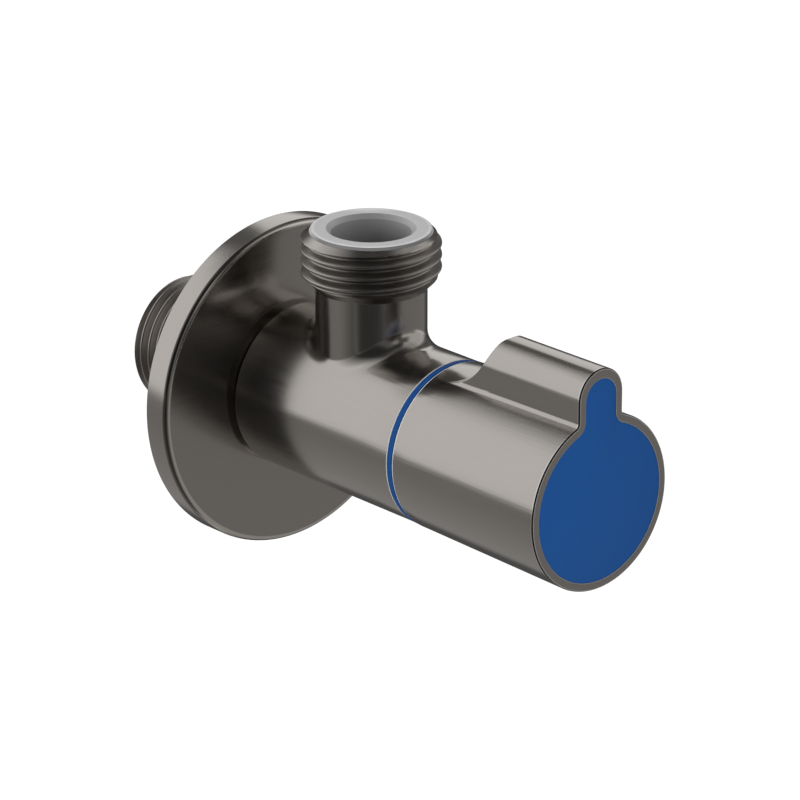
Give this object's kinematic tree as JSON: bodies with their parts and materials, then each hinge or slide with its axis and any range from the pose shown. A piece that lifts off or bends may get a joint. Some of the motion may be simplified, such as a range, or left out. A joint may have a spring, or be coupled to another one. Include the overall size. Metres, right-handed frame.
{
  "type": "angle valve",
  "caption": "Quarter-turn angle stop valve with a round wall disc, threaded inlet and outlet, and a ribbed turning handle with a coloured face.",
  "frame": {"origin": "centre of the wall disc's back plane, where the inlet shank enters the wall", "axes": "+Y along the inlet shank into the wall, +Z along the outlet, the handle's face looks along -Y"},
  "size_m": [0.0512, 0.093, 0.0548],
  "materials": {
    "gunmetal_brass": "satin brushed gunmetal plating over brass",
    "gunmetal_steel": "satin brushed gunmetal plating over steel",
    "gunmetal_handle": "satin brushed gunmetal plating over a cast handle",
    "mark_blue": "plain blue, low gloss",
    "liner_grey": "plain light grey",
    "rubber_black": "plain",
    "brass_raw": "turned",
    "steel_small": "plain",
    "acetal_white": "moulded",
    "ceramic_white": "lapped"
  },
  "bodies": {
    "valve": {"valve_body": "gunmetal_brass", "outlet_liner": "liner_grey", "marking_ring": "mark_blue", "cartridge_housing": "brass_raw", "housing_gasket": "rubber_black", "slip_washer": "acetal_white", "fixed_disc": "ceramic_white", "seat_seal": "rubber_black", "seal_support_ring": "brass_raw"},
    "handle": {"handle_shell": "gunmetal_handle", "handle_insert": "mark_blue", "handle_screw": "steel_small", "screw_washer": "steel_small", "spline_bush": "acetal_white", "spindle": "brass_raw", "spindle_seal_rings": "rubber_black", "spindle_clip": "steel_small", "stop_ring": "acetal_white", "moving_disc": "ceramic_white"},
    "grip_ring": {"disc_grip_ring": "rubber_black"},
    "disc": {"wall_disc": "gunmetal_steel"}
  },
  "joints": [
    {"name": "handle_turn", "type": "hinge", "parent": "valve", "child": "handle", "pos_m": [0, -0.0405, 0], "axis": [0, 1, 0], "range_deg": [0, 90]},
    {"name": "disc_slide", "type": "slide", "parent": "valve", "child": "grip_ring", "axis": [0, 1, 0], "range_m": [-0.00005, 0.018]},
    {"name": "disc_spin", "type": "hinge", "parent": "grip_ring", "child": "disc", "pos_m": [0, -0.00222, 0], "axis": [0, 1, 0], "continuous": true}
  ]
}
